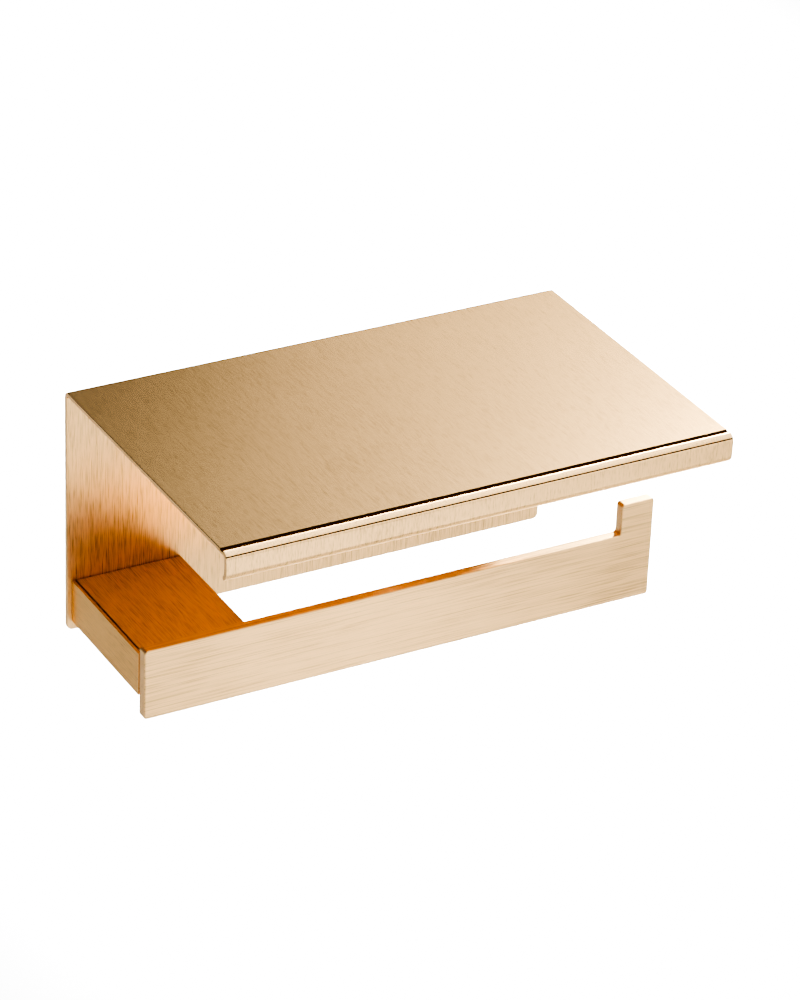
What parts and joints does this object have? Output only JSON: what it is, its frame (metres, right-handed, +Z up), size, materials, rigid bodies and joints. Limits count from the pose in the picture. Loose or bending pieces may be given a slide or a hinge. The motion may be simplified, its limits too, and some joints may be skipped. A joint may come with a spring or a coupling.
{
  "type": "toilet paper holder",
  "caption": "Wall-mounted toilet paper holder: bent sheet wall plate with a phone shelf, a short box arm and a flat roll bar with an upturned end.",
  "frame": {"origin": "on the wall plane, on the back face of the wall plate, midway between its two screw holes", "axes": "+Z up, +X along the roll bar towards its open, upturned end, +Y into the wall, so the shelf's lip points along -Y"},
  "size_m": [0.1914, 0.116, 0.093],
  "materials": {
    "brushed_gold": "brushed champagne gold plating",
    "plain_steel": "plain stainless steel"
  },
  "bodies": {
    "root": {"shelf_sheet": "brushed_gold", "arm_shell": "brushed_gold", "arm_side_plate": "brushed_gold", "roll_bar": "brushed_gold", "arm_root_block": "plain_steel", "arm_tip_block": "plain_steel", "root_screw_left": "plain_steel", "root_screw_right": "plain_steel", "bar_screw_left": "plain_steel", "bar_screw_right": "plain_steel", "grub_screw_rear": "plain_steel", "grub_screw_front": "plain_steel"}
  },
  "joints": []
}
